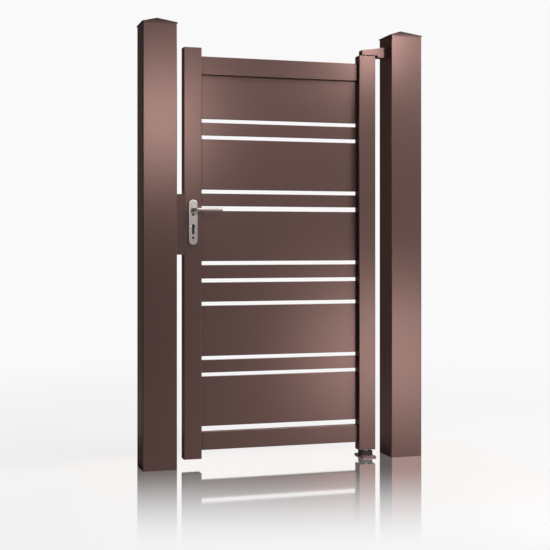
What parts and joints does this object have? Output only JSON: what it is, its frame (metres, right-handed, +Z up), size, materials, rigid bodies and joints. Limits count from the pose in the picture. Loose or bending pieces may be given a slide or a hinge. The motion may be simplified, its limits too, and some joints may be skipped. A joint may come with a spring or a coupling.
{
  "type": "pedestrian gate",
  "caption": "Pedestrian gate of brown coated aluminium: a leaf of boards with see-through slots between two square posts, on a top arm and a ground pivot, with lever handles.",
  "frame": {"origin": "middle of the hinge post's foot, on the ground", "axes": "+X to the right as seen from the street, from the latch post to the hinge post; +Y away from the street, the way the leaf opens; +Z up"},
  "size_m": [1.306, 0.171, 1.975],
  "materials": {
    "brown_coat": "satin brown powder coat on aluminium",
    "brown_casting": "satin brown powder coat on cast aluminium",
    "bare_aluminium": "as cast",
    "steel": "zinc plated",
    "satin_metal": "satin anodised"
  },
  "bodies": {
    "posts": {"hinge_post": "brown_coat", "hinge_post_cap": "brown_coat", "hinge_post_foot": "bare_aluminium", "latch_post": "brown_coat", "latch_post_cap": "brown_coat", "latch_post_foot": "bare_aluminium", "lock_keep": "brown_casting", "top_hinge_arm": "brown_casting", "top_pivot_pin": "steel", "ground_pivot": "brown_casting", "ground_pivot_pin": "steel"},
    "leaf": {"hinge_stile": "brown_coat", "latch_stile": "brown_coat", "hinge_stile_top_bush": "brown_coat", "hinge_stile_bottom_bush": "brown_coat", "latch_stile_top_cap": "brown_coat", "latch_stile_bottom_cap": "brown_coat", "top_rail": "brown_coat", "bottom_rail": "brown_coat", "panel_1": "brown_coat", "panel_2": "brown_coat", "panel_3": "brown_coat", "panel_4": "brown_coat", "panel_5": "brown_coat", "slat_1": "brown_coat", "slat_2": "brown_coat", "slat_3": "brown_coat", "slat_4": "brown_coat", "slat_5": "brown_coat", "mortice_lock": "steel", "front_lock_plate": "satin_metal", "back_lock_plate": "satin_metal"},
    "lever": {"front_lever": "satin_metal", "back_lever": "satin_metal", "spindle": "steel"}
  },
  "joints": [
    {"name": "leaf_swing", "type": "hinge", "parent": "posts", "child": "leaf", "pos_m": [-0.175, 0, 0.9], "axis": [0, 0, -1], "range_deg": [0, 100]},
    {"name": "lever_turn", "type": "hinge", "parent": "leaf", "child": "lever", "pos_m": [-0.995, 0, 1.133], "axis": [0, 1, 0], "range_deg": [0, 42], "stiffness_Nm_per_rad": 1, "springref_deg": -40.11}
  ]
}
